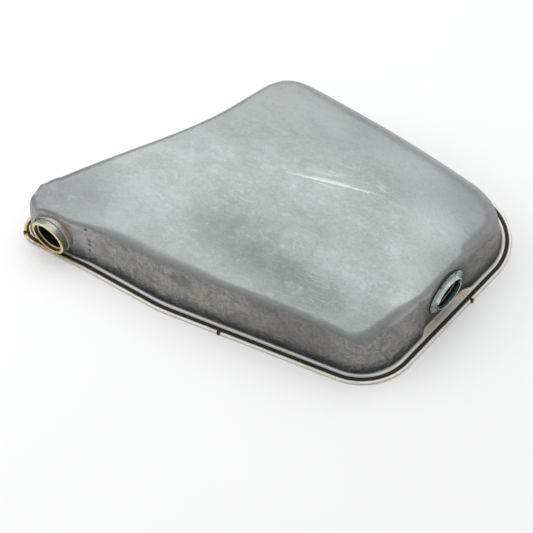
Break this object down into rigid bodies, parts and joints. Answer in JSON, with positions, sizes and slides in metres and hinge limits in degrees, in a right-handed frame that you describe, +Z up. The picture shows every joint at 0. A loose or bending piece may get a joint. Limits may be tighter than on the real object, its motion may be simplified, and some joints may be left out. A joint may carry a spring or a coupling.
{
  "type": "motorcycle fuel tank",
  "caption": "Bare pressed-steel side tank: a crowned dome on a flat base with a seam flange, a filler neck at the narrow tail and a threaded ring in the wide end wall.",
  "frame": {"origin": "on the underside of the flat base pan, near the middle of its plan outline", "axes": "+Z up out of the base towards the dome, +X along the tank's length towards the wide end with the threaded ring, +Y towards the shoulder peak"},
  "size_m": [0.5347, 0.3422, 0.1029],
  "materials": {
    "raw_steel": "bare pressed steel with a grey-green patina and fine scratches",
    "rim_steel": "bare steel edge with a light straw tint",
    "sealer": "black seam sealer, satin",
    "rivet": "dark brown oxidised",
    "neck_steel": "pale green-grey plated tube with straw-coloured rims",
    "weld_steel": "heat-tinted weld ring",
    "plated_ring": "machined, pale green zinc plate",
    "inner_steel": "bare steel sheet, dull",
    "fitting_steel": "turned steel, zinc plated"
  },
  "bodies": {
    "root": {"upper_shell": "raw_steel", "base_pan": "rim_steel", "seam_sealer": "sealer", "rim_rivets": "rivet", "filler_neck": "neck_steel", "neck_weld_ring": "weld_steel", "neck_seat_ring": "neck_steel", "sender_ring": "plated_ring", "ring_sealer": "sealer", "ring_backing": "inner_steel", "baffle_front": "inner_steel", "baffle_rear": "inner_steel", "recess_pressing": "rim_steel", "outlet_bung": "fitting_steel", "mount_bosses": "fitting_steel", "mount_doublers": "inner_steel", "vent_spigot": "fitting_steel", "vent_tube": "inner_steel", "return_spigot": "fitting_steel", "return_tube": "inner_steel"}
  },
  "joints": []
}
